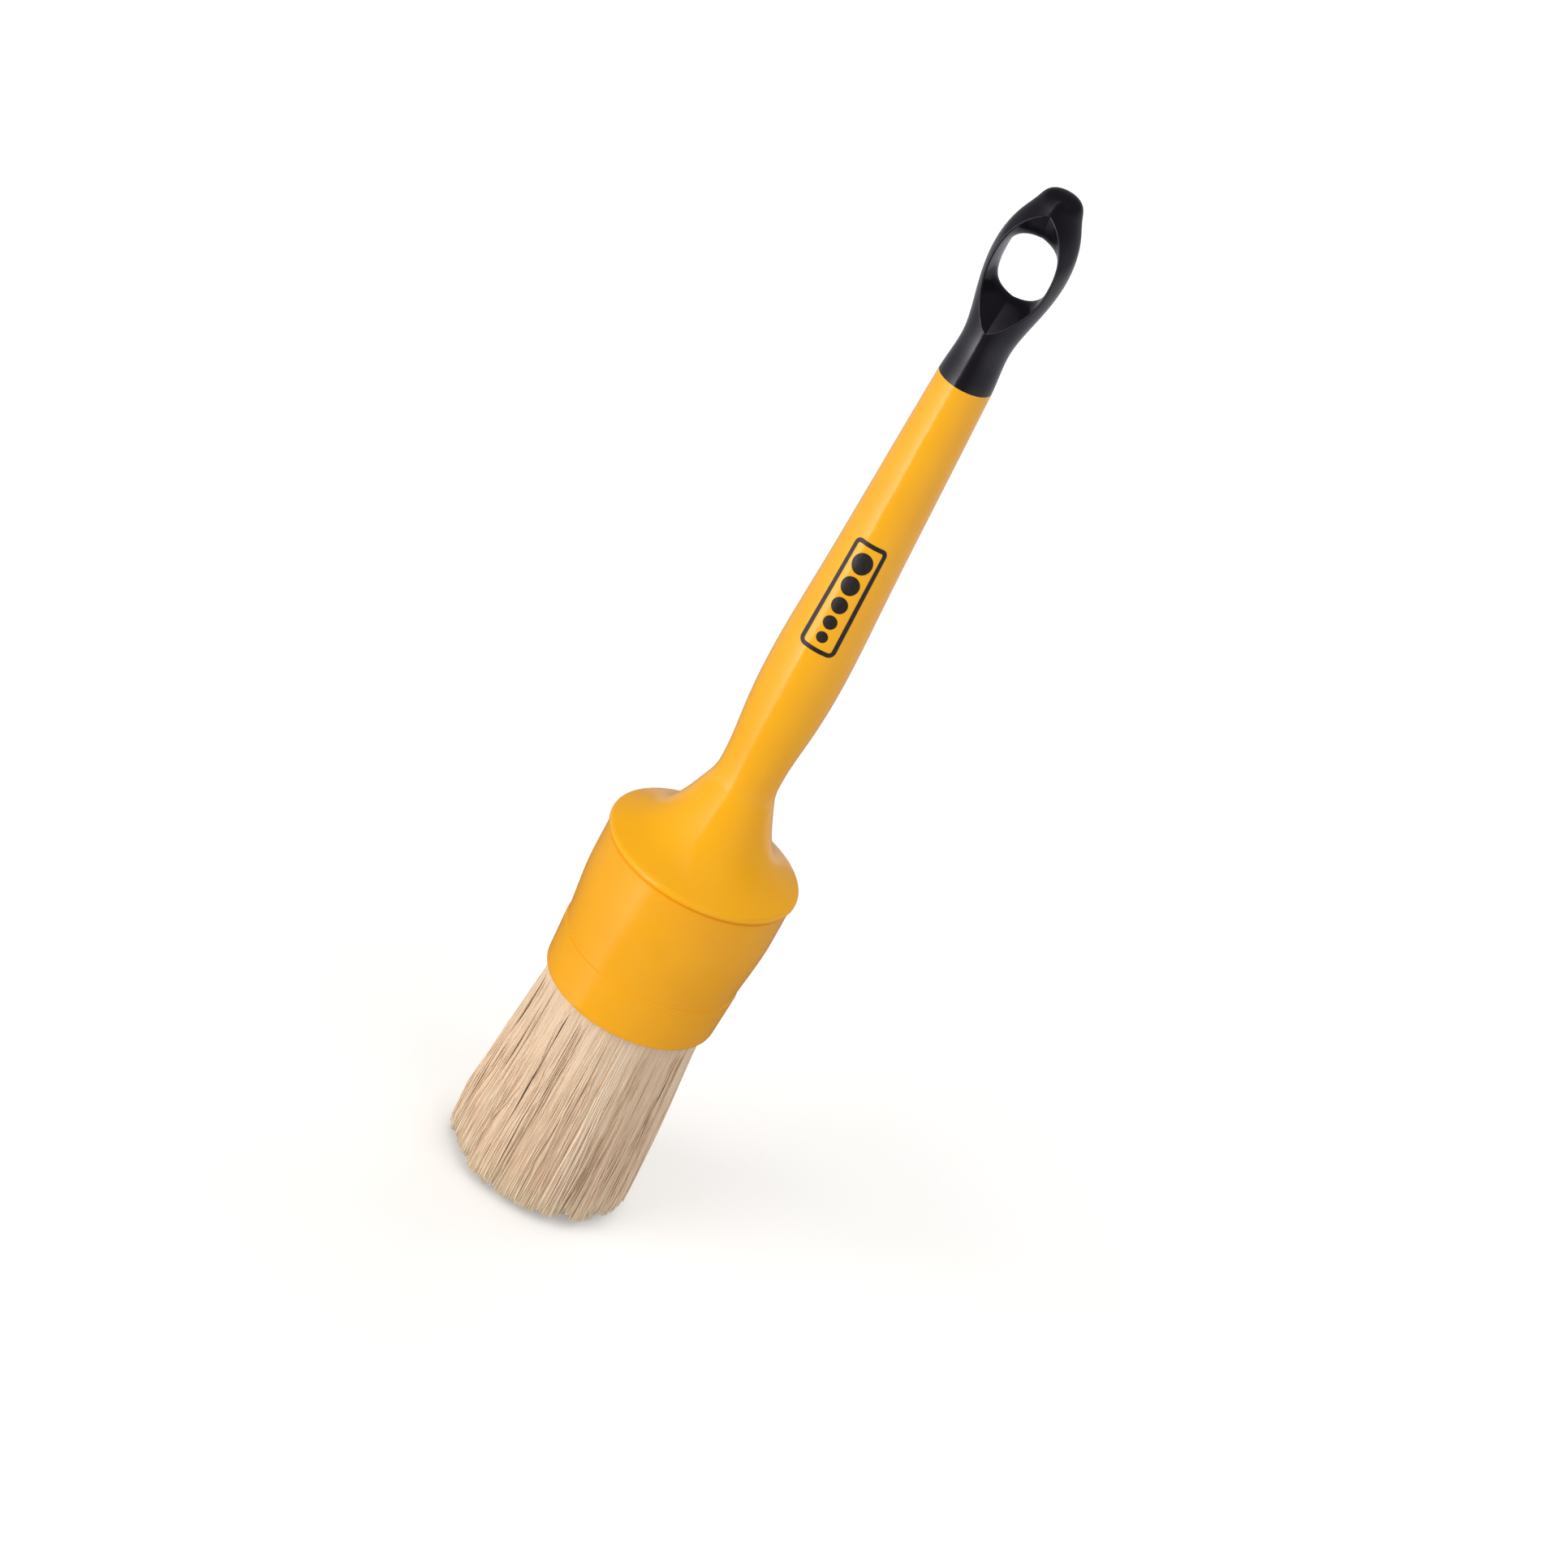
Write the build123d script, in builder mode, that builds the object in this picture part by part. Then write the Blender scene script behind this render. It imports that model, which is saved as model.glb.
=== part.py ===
from build123d import *

import os
from math import cos, pi, radians, sin

# Round brush with a moulded ferrule and a hanging eye. It stands on its bristle ends:
# millimetres, +Z up along the brush, origin at the middle of the bristle ends.
# The eye runs along Y, and the brush is turned about Z apart from the eye and the tufts.

# ---- Lengths along the brush, from the bristle ends up ----
free_length = 50.8  # bristle standing out of the ferrule
ferrule_length = 37.2
handle_length = 125.3  # ferrule seam to the black end
hanger_length = 44.9

# ---- Ferrule ----
mouth_radius = 19.95
mouth_wall = 1.5
mouth_round = 1.3
band_height = 11.5  # the thicker band round the mouth
band_radius = 20.45
band_step = 0.25
top_radius = 21.5
top_wall = 1.9
top_straight = 9.0  # the stretch of full radius below the seam
top_round = 0.4
socket_depth = 14.5  # takes the handle's spigot
groove_height = 2.4
groove_depth = 0.6

# ---- Handle ----
lip_overhang = 0.55  # the shoulder's lip stands this far over the ferrule
lip_base_round = 1.0
lip_height = 2.4
lip_round = 1.4
flare_low_inset = 7.0  # the concave shoulder, bottom to top, this far in from the top radius
flare_low_height = 6.3  # and this far above the seam
flare_mid_inset = 11.0
flare_mid_height = 12.4
flare_high_spread = 1.07  # wider than the neck by this
flare_high_height = 18.8
neck_radius = 6.93
neck_height = 24.8
rise_radius = 7.8
rise_height = 37.0
swell_radius = 8.44
swell_height = 51.3
fall_radius = 7.77
fall_height = 72.3
taper_radius = 6.74
taper_height = 102.3
end_radius = 5.97
handle_wall = 2.3
spigot_wall = 2.4
fit_clearance = 0.1
end_clearance = 0.3  # under the spigots' ends, so that the outer faces meet

# ---- Hanging end ----
hanger_spigot_length = 13.0
hanger_spigot_wall = 2.0  # handle wall left round the socket
barb_height = 0.35
barb_length = 2.0
partition = 3.0  # between the handle's core and the socket
hanger_neck_radius = 5.33
hanger_neck_height = 9.6
cheek_radius = 6.85
cheek_depth = 26.7  # depths are measured down from the top
head_radius = 8.24
head_depth = 17.7
brow_radius = 6.72
brow_depth = 7.5
crown_radius = 5.0
crown_depth = 3.5
eye_width = 12.0
eye_length = 13.9
eye_depth = 17.5  # top to the middle of the eye
eye_slope = 6.0  # degrees off the level where the two sides meet
rim_y = 5.4  # this far out the eye has opened to its pointed rim
rim_width = 13.2
rim_up = 13.6
rim_down = 13.6
rim_top_slope = 34.0
rim_low_slope = 30.0
rim_round = 0.3
cut_margin = 0.16  # the cut runs on to this far outside the head
cut_width = 15.0
cut_up = 19.5
cut_down = 20.5
cut_top_slope = 40.0
cut_low_slope = 40.0

# ---- Bristle and what holds it ----
root_depth = 12.0  # bristle held inside the ferrule
bristle_clearance = 0.1
belly_radius = 20.6  # the bundle's widest, near the bristle ends
belly_height = 6.0
flare_radius = 19.45
flare_height = 29.0
bristle_round = 2.2
core_radius = 6.0
core_length = 10.0
core_chamfer = 0.8
ring_radius = 12.2  # where the outer tufts meet the inner ones, at the roots
ring_end_radius = 12.8
tuft_gap = 0.35
hollow_radius = 0.8
outer_tufts = 14
inner_tufts = 7
tip_step = 0.7  # each tuft in three is shorter by this much more
inner_drop = 0.4

# ---- Levels and fits that follow ----
seam_z = free_length + ferrule_length
junction_z = seam_z + handle_length
top_z = junction_z + hanger_length
bore_radius = mouth_radius - mouth_wall
socket_radius = top_radius - top_wall
ledge_z = seam_z - socket_depth
root_z = free_length + root_depth
groove_z = ledge_z + socket_depth / 2
spigot_radius = socket_radius - fit_clearance
spigot_end_z = ledge_z + end_clearance
lip_radius = top_radius + lip_overhang
hanger_spigot_radius = end_radius - hanger_spigot_wall - fit_clearance
hanger_socket_radius = end_radius - hanger_spigot_wall
hanger_socket_z = junction_z - hanger_spigot_length - end_clearance
core_top_z = hanger_socket_z - partition
eye_z = top_z - eye_depth
cut_y = head_radius + cut_margin
tuft_radius = bore_radius - bristle_clearance

os.makedirs("parts", exist_ok=True)


def inset(edge, share, depth):
    """The point that lies depth under an outline drawn upwards, at a share of its length."""
    along = edge % share
    return edge @ share - Vector(along.Y, -along.X) * depth


# Outline of the handle's skin: lip, concave shoulder, neck, swelling grip
with BuildLine() as skin:
    lip_foot = (top_radius - top_round, seam_z)
    lip_side = (lip_radius, seam_z + lip_base_round)
    lip_crest = (lip_radius - lip_round, seam_z + lip_height)
    neck = (neck_radius, seam_z + neck_height)
    lip_under = Spline(lip_foot, lip_side, tangents=((1, 0.6), (0, 1)))
    lip_over = Spline(lip_side, lip_crest, tangents=((0, 1), (-1, 0.55)))
    shoulder = Spline(
        lip_crest,
        (top_radius - flare_low_inset, seam_z + flare_low_height),
        (top_radius - flare_mid_inset, seam_z + flare_mid_height),
        (neck_radius + flare_high_spread, seam_z + flare_high_height),
        neck,
        tangents=((-1, 0.55), (0, 1)),
    )
    rise = Spline(
        neck,
        (rise_radius, seam_z + rise_height),
        (swell_radius, seam_z + swell_height),
        tangents=((0, 1), (0, 1)),
    )
    grip = Spline(
        rise @ 1,
        (fall_radius, seam_z + fall_height),
        (taper_radius, seam_z + taper_height),
        (end_radius, junction_z),
        tangents=((0, 1), (-0.035, 1)),
    )

# Handle: a hollow polypropylene moulding, open at its spigot, with a blind socket at the far end
with BuildPart() as handle:
    with BuildSketch(Plane.XZ):
        with BuildLine():
            add(skin.line)
            Polyline(grip @ 1, (0, junction_z), (0, seam_z), lip_foot)
        make_face()
    revolve(axis=Axis.Z)
    with BuildSketch(Plane.XZ):  # the spigot and the bead that snaps into the ferrule
        with BuildLine():
            bead = spigot_radius + groove_depth
            Polyline(
                (0, seam_z),
                (0, spigot_end_z),
                (spigot_radius - groove_depth, spigot_end_z),
                (spigot_radius, spigot_end_z + 2 * groove_depth),
                (spigot_radius, groove_z - groove_height / 2 + fit_clearance),
                (bead, groove_z),
                (spigot_radius, groove_z + groove_height / 2 - fit_clearance),
                (spigot_radius, seam_z),
                close=True,
            )
        make_face()
    revolve(axis=Axis.Z)
    with BuildSketch(Plane.XZ):  # the hollow core, a wall's thickness under the skin
        with BuildLine():
            core_mouth = (spigot_radius - spigot_wall, spigot_end_z)
            core_shoulder = (spigot_radius - spigot_wall, seam_z - spigot_wall)
            bell = Polyline(
                core_shoulder,
                inset(shoulder, 0.3, handle_wall),
                inset(shoulder, 0.45, handle_wall),
                inset(shoulder, 0.6, handle_wall),
                inset(shoulder, 0.8, handle_wall),
                inset(shoulder, 1.0, handle_wall),
            )
            barrel = Spline(
                bell @ 1,
                inset(rise, 1.0, handle_wall),
                inset(grip, 0.5, handle_wall),
                (hanger_socket_radius - barb_height, core_top_z),
                tangents=((0, 1), (-0.035, 1)),
            )
            Polyline(barrel @ 1, (0, core_top_z), (0, spigot_end_z), core_mouth, core_shoulder)
        make_face()
    revolve(axis=Axis.Z, mode=Mode.SUBTRACT)
    with BuildSketch(Plane.XZ):  # the socket for the black end, with grooves for its barbs
        with BuildLine():
            barb_socket = hanger_socket_radius + barb_height
            barb_low_z = hanger_socket_z + hanger_spigot_length / 3
            barb_high_z = hanger_socket_z + hanger_spigot_length * 2 / 3
            Polyline(
                (0, hanger_socket_z),
                (hanger_socket_radius, hanger_socket_z),
                (hanger_socket_radius, barb_low_z - barb_length / 2),
                (barb_socket, barb_low_z),
                (hanger_socket_radius, barb_low_z + barb_length / 2),
                (hanger_socket_radius, barb_high_z - barb_length / 2),
                (barb_socket, barb_high_z),
                (hanger_socket_radius, barb_high_z + barb_length / 2),
                (hanger_socket_radius, junction_z),
                (0, junction_z),
                close=True,
            )
        make_face()
    revolve(axis=Axis.Z, mode=Mode.SUBTRACT)
handle.part.label = "handle"
export_step(handle.part, "parts/handle.step")

# Hanging end: a solid black moulding with a barbed spigot, a waisted neck and a head
# pierced by an eye whose mouths open out to pointed rims
with BuildPart() as hanger_loop:
    with BuildSketch(Plane.XZ):
        with BuildLine():
            head = Spline(
                (end_radius, junction_z),
                (hanger_neck_radius, junction_z + hanger_neck_height),
                (cheek_radius, top_z - cheek_depth),
                (head_radius, top_z - head_depth),
                (brow_radius, top_z - brow_depth),
                (crown_radius, top_z - crown_depth),
                (0, top_z),
                tangents=((-0.06, 1), (-1, 0)),
            )
            Polyline(head @ 1, (0, junction_z), head @ 0)
        make_face()
    revolve(axis=Axis.Z)
    with BuildSketch(Plane.XZ):
        with BuildLine():
            barb = hanger_spigot_radius + barb_height
            foot_z = junction_z - hanger_spigot_length
            Polyline(
                (0, junction_z),
                (0, foot_z),
                (hanger_spigot_radius - barb_height, foot_z),
                (hanger_spigot_radius, foot_z + 2 * barb_height),
                (hanger_spigot_radius, barb_low_z - barb_length / 2 + fit_clearance),
                (barb, barb_low_z),
                (hanger_spigot_radius, barb_low_z + barb_length / 2 - fit_clearance),
                (hanger_spigot_radius, barb_high_z - barb_length / 2 + fit_clearance),
                (barb, barb_high_z),
                (hanger_spigot_radius, barb_high_z + barb_length / 2 - fit_clearance),
                (hanger_spigot_radius, junction_z),
                close=True,
            )
        make_face()
    revolve(axis=Axis.Z)
    for y, half_width, up, down, top_slope, low_slope in (
        (-cut_y, cut_width / 2, cut_up, cut_down, cut_top_slope, cut_low_slope),
        (-rim_y, rim_width / 2, rim_up, rim_down, rim_top_slope, rim_low_slope),
        (0.0, eye_width / 2, eye_length / 2, eye_length / 2, eye_slope, eye_slope),
        (rim_y, rim_width / 2, rim_up, rim_down, rim_top_slope, rim_low_slope),
        (cut_y, cut_width / 2, cut_up, cut_down, cut_top_slope, cut_low_slope),
    ):
        with BuildSketch(Plane.XZ.offset(-y)):
            with BuildLine():
                low, high = (0, eye_z - down), (0, eye_z + up)
                low_x, low_y = cos(radians(low_slope)), sin(radians(low_slope))
                top_x, top_y = cos(radians(top_slope)), sin(radians(top_slope))
                Spline(low, (half_width, eye_z), high, tangents=((low_x, low_y), (-top_x, top_y)))
                Spline(high, (-half_width, eye_z), low, tangents=((-top_x, -top_y), (low_x, -low_y)))
            make_face()
    loft(mode=Mode.SUBTRACT)
    rims = hanger_loop.edges().filter_by(lambda edge: abs(edge.center().Y) > rim_y / 2)
    fillet(rims, radius=rim_round)
hanger_loop.part.label = "hanger_loop"
export_step(hanger_loop.part, "parts/hanger_loop.step")

# Ferrule: a tapered ring with a thicker band round its mouth and a snap groove in its socket
with BuildPart() as ferrule:
    with BuildSketch(Plane.XZ):
        with BuildLine():
            band_z = free_length + band_height
            mouth = Line((bore_radius, free_length), (mouth_radius - mouth_round, free_length))
            edge = Spline(
                mouth @ 1,
                (mouth_radius, free_length + mouth_round),
                tangents=((1, 0), (0.05, 1)),
            )
            band = Line(edge @ 1, (band_radius, band_z))
            step = Line(band @ 1, (band_radius - band_step, band_z + band_step))
            side = Spline(
                step @ 1,
                (top_radius, seam_z - top_straight),
                tangents=((0.07, 1), (0, 1)),
            )
            Polyline(
                side @ 1,
                (top_radius, seam_z - top_round),
                (top_radius - top_round, seam_z),
                (socket_radius, seam_z),
                (socket_radius, groove_z + groove_height / 2),
                (socket_radius + groove_depth, groove_z),
                (socket_radius, groove_z - groove_height / 2),
                (socket_radius, ledge_z),
                (bore_radius, ledge_z),
                (bore_radius, free_length),
            )
        make_face()
    revolve(axis=Axis.Z)
ferrule.part.label = "ferrule"
export_step(ferrule.part, "parts/ferrule.step")

# Resin plug: cast over the bristle roots and bonded to the ferrule's bore
with BuildPart() as resin_plug:
    with BuildSketch(Plane.XY.offset(root_z)):
        Circle(bore_radius)
    extrude(amount=ledge_z - root_z)
resin_plug.part.label = "resin_plug"
export_step(resin_plug.part, "parts/resin_plug.step")

# Core peg: the spacer in the middle of the bundle
with BuildPart() as core_peg:
    with BuildSketch(Plane.XY.offset(root_z - core_length)):
        Circle(core_radius)
    extrude(amount=core_length)
    chamfer(core_peg.edges().group_by(Axis.Z)[0], length=core_chamfer)
core_peg.part.label = "core_peg"
export_step(core_peg.part, "parts/core_peg.step")

# Outer tufts: wedges of bristle that follow the ferrule's bore and then spread to the ends
outer_pitch = 360 / outer_tufts
outer_arc = outer_pitch * (1 - tuft_gap * outer_tufts / (2 * pi * belly_radius))
for n in range(outer_tufts):
    name = f"outer_tuft_{n + 1:02d}"
    turn = n * outer_pitch + (outer_pitch - outer_arc) / 2
    end_z = tip_step * (n % 3)
    with BuildPart() as tuft:
        with BuildSketch(Plane.XZ.rotated((0, 0, turn))) as wedge:
            with BuildLine():
                outside = Spline(
                    (tuft_radius, free_length),
                    (flare_radius, flare_height),
                    (belly_radius, belly_height),
                    tangents=((0.02, -1), (0.01, -1)),
                )
                Polyline(
                    outside @ 1,
                    (belly_radius, end_z),
                    (ring_end_radius + tuft_gap / 2, end_z),
                    (ring_radius + tuft_gap / 2, root_z),
                    (tuft_radius, root_z),
                    outside @ 0,
                )
            make_face()
            low_corners = wedge.vertices().group_by(Axis.Y)[0]
            fillet(low_corners.sort_by(Axis.X)[-1], radius=bristle_round)
        revolve(axis=Axis.Z, revolution_arc=-outer_arc)
    tuft.part.label = name
    export_step(tuft.part, f"parts/{name}.step")

# Inner tufts: they fill the ring round the core peg and lean in to close the bundle's middle
inner_pitch = 360 / inner_tufts
inner_arc = inner_pitch * (1 - tuft_gap * inner_tufts / (2 * pi * ring_end_radius))
for n in range(inner_tufts):
    name = f"inner_tuft_{n + 1:02d}"
    turn = n * inner_pitch + (inner_pitch - inner_arc) / 2
    with BuildPart() as tuft:
        with BuildSketch(Plane.XZ.rotated((0, 0, turn))):
            with BuildLine():
                Polyline(
                    (core_radius + bristle_clearance, root_z),
                    (core_radius + bristle_clearance, root_z - core_length),
                    (hollow_radius, free_length / 2),
                    (hollow_radius, inner_drop),
                    (ring_end_radius - tuft_gap / 2, inner_drop),
                    (ring_radius - tuft_gap / 2, root_z),
                    close=True,
                )
            make_face()
        revolve(axis=Axis.Z, revolution_arc=-inner_arc)
    tuft.part.label = name
    export_step(tuft.part, f"parts/{name}.step")
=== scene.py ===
from math import atan2, cos, pi, radians, sin, tau

import bpy
import numpy as np
from mathutils import Matrix, Vector


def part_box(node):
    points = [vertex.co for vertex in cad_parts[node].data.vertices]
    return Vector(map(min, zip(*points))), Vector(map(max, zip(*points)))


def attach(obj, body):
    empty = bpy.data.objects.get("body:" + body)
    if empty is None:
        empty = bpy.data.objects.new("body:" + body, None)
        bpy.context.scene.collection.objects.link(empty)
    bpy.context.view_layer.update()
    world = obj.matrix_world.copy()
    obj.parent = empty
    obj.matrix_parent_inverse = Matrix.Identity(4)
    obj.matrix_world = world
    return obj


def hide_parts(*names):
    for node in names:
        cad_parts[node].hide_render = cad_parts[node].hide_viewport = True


bl_info = {
    "name": "Round brush",
    "version": (1, 0, 0),
    "blender": (4, 5, 0),
    "location": "View3D > Sidebar > Brush",
    "description": "Dresses a round brush in bristle, plastics and a printed grip mark, and sets its stage",
    "category": "Object",
}

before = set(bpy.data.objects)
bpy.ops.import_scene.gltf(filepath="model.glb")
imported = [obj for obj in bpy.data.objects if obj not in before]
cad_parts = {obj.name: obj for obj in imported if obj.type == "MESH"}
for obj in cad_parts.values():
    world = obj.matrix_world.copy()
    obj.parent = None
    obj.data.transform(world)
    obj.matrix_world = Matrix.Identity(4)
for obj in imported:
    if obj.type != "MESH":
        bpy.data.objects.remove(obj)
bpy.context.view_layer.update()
MM = 0.001

# What the solids give: levels in metres, and the tufts' names
MOUTH_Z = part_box("ferrule")[0].z
ROOT_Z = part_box("core_peg")[1].z
OUTER_TUFTS = sorted(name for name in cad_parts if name.startswith("outer_tuft"))
INNER_TUFTS = sorted(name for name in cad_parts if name.startswith("inner_tuft"))


# ---- Materials ----


def linear(colour):
    """A hex sRGB colour, or the 0 to 1 sRGB triple of a colour property, as linear RGBA."""
    if isinstance(colour, str):
        colour = [int(colour[at : at + 2], 16) / 255 for at in (1, 3, 5)]
    return (*(c / 12.92 if c <= 0.04045 else ((c + 0.055) / 1.055) ** 2.4 for c in colour), 1.0)


def srgb(colour):
    """A hex sRGB colour as the plain triple that a colour property holds."""
    return tuple(int(colour[at : at + 2], 16) / 255 for at in (1, 3, 5))


def put(tree, kind, settings=None, **inputs):
    """Adds a node. Settings are its own properties; an input is a constant or the socket that feeds it."""
    node = tree.nodes.new(kind)
    for name, value in (settings or {}).items():
        setattr(node, name, value)
    for name, value in inputs.items():
        socket = node.inputs[int(name[1:])] if name[1:].isdigit() else node.inputs[name.replace("_", " ")]
        if isinstance(value, bpy.types.NodeSocket):
            tree.links.new(value, socket)
        else:
            socket.default_value = value
    return node


def ramp(node, *stops):
    """Gives a Color Ramp node its stops, (place, linear RGBA) each."""
    elements = node.color_ramp.elements
    while len(elements) < len(stops):
        elements.new(1.0)
    for element, (place, colour) in zip(elements, stops):
        element.position, element.color = place, colour
    return node


def blank(name):
    """A new material with only its output node, and its tree."""
    made = bpy.data.materials.new(name)
    made.use_nodes = True
    made.node_tree.nodes.clear()
    return made, made.node_tree


def moulded_plastic(name, colour, shade, rough, wave, grain):
    """A gloss plastic from a polished mould. Thick walls sink by a hair as they cool, which bends the
    reflections slowly, and the steel's polish leaves a fine grain that breaks their edges. Rough is the
    least and the most roughness, and the wave and the grain are heights in millimetres."""
    made, tree = blank(name)
    place = put(tree, "ShaderNodeTexCoord").outputs["Object"]
    flow = put(tree, "ShaderNodeTexNoise", Vector=place, Scale=1 / (14 * MM), Detail=2.0)  # melt flow, 14 mm
    tone = ramp(
        put(tree, "ShaderNodeValToRGB", Fac=flow.outputs["Fac"]),
        (0.3, linear(shade)),
        (0.7, linear(colour)),
    )
    haze = put(tree, "ShaderNodeTexNoise", Vector=place, Scale=1 / (5 * MM), Detail=3.0)  # handling, 5 mm
    gloss = put(
        tree,
        "ShaderNodeMapRange",
        i0=haze.outputs["Fac"],
        i1=0.3,
        i2=0.7,
        i3=rough[0],
        i4=rough[1],
    )
    sink = put(tree, "ShaderNodeTexNoise", Vector=place, Scale=1 / (9 * MM), Detail=1.0)  # sink, 9 mm
    polish = put(tree, "ShaderNodeTexNoise", Vector=place, Scale=1 / (0.6 * MM), Detail=2.0)  # grain, 0.6 mm
    slow = put(tree, "ShaderNodeBump", Strength=1.0, Distance=wave * MM, Height=sink.outputs["Fac"])
    fine = put(
        tree,
        "ShaderNodeBump",
        Strength=1.0,
        Distance=grain * MM,
        Height=polish.outputs["Fac"],
        Normal=slow.outputs["Normal"],
    )
    shader = put(
        tree,
        "ShaderNodeBsdfPrincipled",
        Base_Color=tone.outputs["Color"],
        Roughness=gloss.outputs["Result"],
        IOR=1.49,
        Normal=fine.outputs["Normal"],
    )
    put(tree, "ShaderNodeOutputMaterial", Surface=shader.outputs["BSDF"])
    return made


def printed_ink(colour):
    """Pad-printed ink: a thin black film with a satin skin, a little uneven where the pad lifted."""
    made, tree = blank("Pad-printed ink, satin")
    place = put(tree, "ShaderNodeTexCoord").outputs["Object"]
    skin = put(tree, "ShaderNodeTexNoise", Vector=place, Scale=1 / (0.5 * MM), Detail=2.0)  # blots, 0.5 mm
    tone = ramp(
        put(tree, "ShaderNodeValToRGB", Fac=skin.outputs["Fac"]),
        (0.35, linear(colour)),
        (0.75, linear("#2E2823")),
    )
    bump = put(tree, "ShaderNodeBump", Strength=1.0, Distance=0.01 * MM, Height=skin.outputs["Fac"])
    shader = put(
        tree,
        "ShaderNodeBsdfPrincipled",
        Base_Color=tone.outputs["Color"],
        Roughness=0.4,
        IOR=1.5,
        Normal=bump.outputs["Normal"],
    )
    put(tree, "ShaderNodeOutputMaterial", Surface=shader.outputs["BSDF"])
    return made


def natural_bristle(root, body, light, tip):
    """Washed natural hog bristle: each hair its own cream to tan, a dull keratin gloss, and paler
    split ends, paler partly as they really are and partly as painted light on tips that sit in shade. The
    tint also carries painted shade on deep hairs and some tufts, and a painted highlight on proud locks. The
    colour follows each hair by its own attributes."""
    made, tree = blank("Natural hog bristle, washed")
    tint = put(tree, "ShaderNodeAttribute", {"attribute_name": "tint"}).outputs["Fac"]
    along = put(tree, "ShaderNodeAttribute", {"attribute_name": "along"}).outputs["Fac"]
    hair = ramp(
        put(tree, "ShaderNodeValToRGB", Fac=tint),
        (0.0, linear(root)),
        (0.3, linear(body)),
        (0.75, linear(body)),
        (1.0, linear(light)),
    )
    # Paler towards the tip: partly the real pale split ends, partly painted light that lifts the shaded tips
    end = ramp(
        put(tree, "ShaderNodeValToRGB", Fac=along),
        (0.0, (0.0, 0.0, 0.0, 1.0)),
        (0.84, (0.0, 0.0, 0.0, 1.0)),
        (0.97, (1.0, 1.0, 1.0, 1.0)),
    )
    paler = put(
        tree,
        "ShaderNodeMix",
        {"data_type": "RGBA"},
        i0=end.outputs["Color"],
        i6=hair.outputs["Color"],
        i7=linear(tip),
    )
    shader = put(
        tree,
        "ShaderNodeBsdfPrincipled",
        Base_Color=paler.outputs[2],  # the colour result
        Roughness=0.5,
        IOR=1.55,
    )
    put(tree, "ShaderNodeOutputMaterial", Surface=shader.outputs["BSDF"])
    return made


def cast_resin():
    """Epoxy cast over the roots: amber, clear-skinned and slightly cloudy with fine bubbles."""
    made, tree = blank("Cast epoxy, amber")
    place = put(tree, "ShaderNodeTexCoord").outputs["Object"]
    cloud = put(tree, "ShaderNodeTexNoise", Vector=place, Scale=1 / (3 * MM), Detail=4.0)  # clouds, 3 mm
    tone = ramp(
        put(tree, "ShaderNodeValToRGB", Fac=cloud.outputs["Fac"]),
        (0.3, linear("#6B4218")),
        (0.7, linear("#A8742E")),
    )
    bump = put(tree, "ShaderNodeBump", Strength=1.0, Distance=0.05 * MM, Height=cloud.outputs["Fac"])
    shader = put(
        tree,
        "ShaderNodeBsdfPrincipled",
        Base_Color=tone.outputs["Color"],
        Roughness=0.2,
        IOR=1.55,
        Normal=bump.outputs["Normal"],
    )
    put(tree, "ShaderNodeOutputMaterial", Surface=shader.outputs["BSDF"])
    return made


def turned_beech():
    """Turned beech: pale pink-brown with grain lines about 1 mm apart along the peg and short flecks."""
    made, tree = blank("Beech, turned")
    place = put(tree, "ShaderNodeTexCoord").outputs["Object"]
    stretched = put(tree, "ShaderNodeMapping", Vector=place, Scale=(1.0, 1.0, 0.08))
    grain = put(
        tree,
        "ShaderNodeTexNoise",
        Vector=stretched.outputs["Vector"],
        Scale=1 / (1 * MM),  # grain lines, 1 mm
        Detail=3.0,
    )
    tone = ramp(
        put(tree, "ShaderNodeValToRGB", Fac=grain.outputs["Fac"]),
        (0.35, linear("#A9794F")),
        (0.65, linear("#CFA57A")),
    )
    bump = put(tree, "ShaderNodeBump", Strength=1.0, Distance=0.03 * MM, Height=grain.outputs["Fac"])
    shader = put(
        tree,
        "ShaderNodeBsdfPrincipled",
        Base_Color=tone.outputs["Color"],
        Roughness=0.55,
        IOR=1.5,
        Normal=bump.outputs["Normal"],
    )
    put(tree, "ShaderNodeOutputMaterial", Surface=shader.outputs["BSDF"])
    return made


# ---- Sizes and colours that a user would change ----


def colour_property(name, description, default):
    """A colour property, picked in sRGB."""
    return bpy.props.FloatVectorProperty(
        name=name,
        description=description + ", sRGB",
        subtype="COLOR_GAMMA",
        size=3,
        min=0.0,
        max=1.0,
        default=srgb(default),
    )


class BrushPlastics(bpy.types.PropertyGroup):
    yellow: colour_property("Yellow", "Colour of the handle", "#FAB41A")
    yellow_shade: colour_property(
        "Yellow in the flow marks", "The slightly deeper yellow where the melt flowed slowly", "#F8B017"
    )
    ferrule: colour_property("Ferrule", "Colour of the ferrule", "#F7AE17")
    ferrule_shade: colour_property(
        "Ferrule in the flow marks",
        "The slightly deeper yellow where the ferrule's melt flowed slowly",
        "#F5AA14",
    )
    black: colour_property("Black", "Colour of the hanging end", "#15131A")


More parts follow.
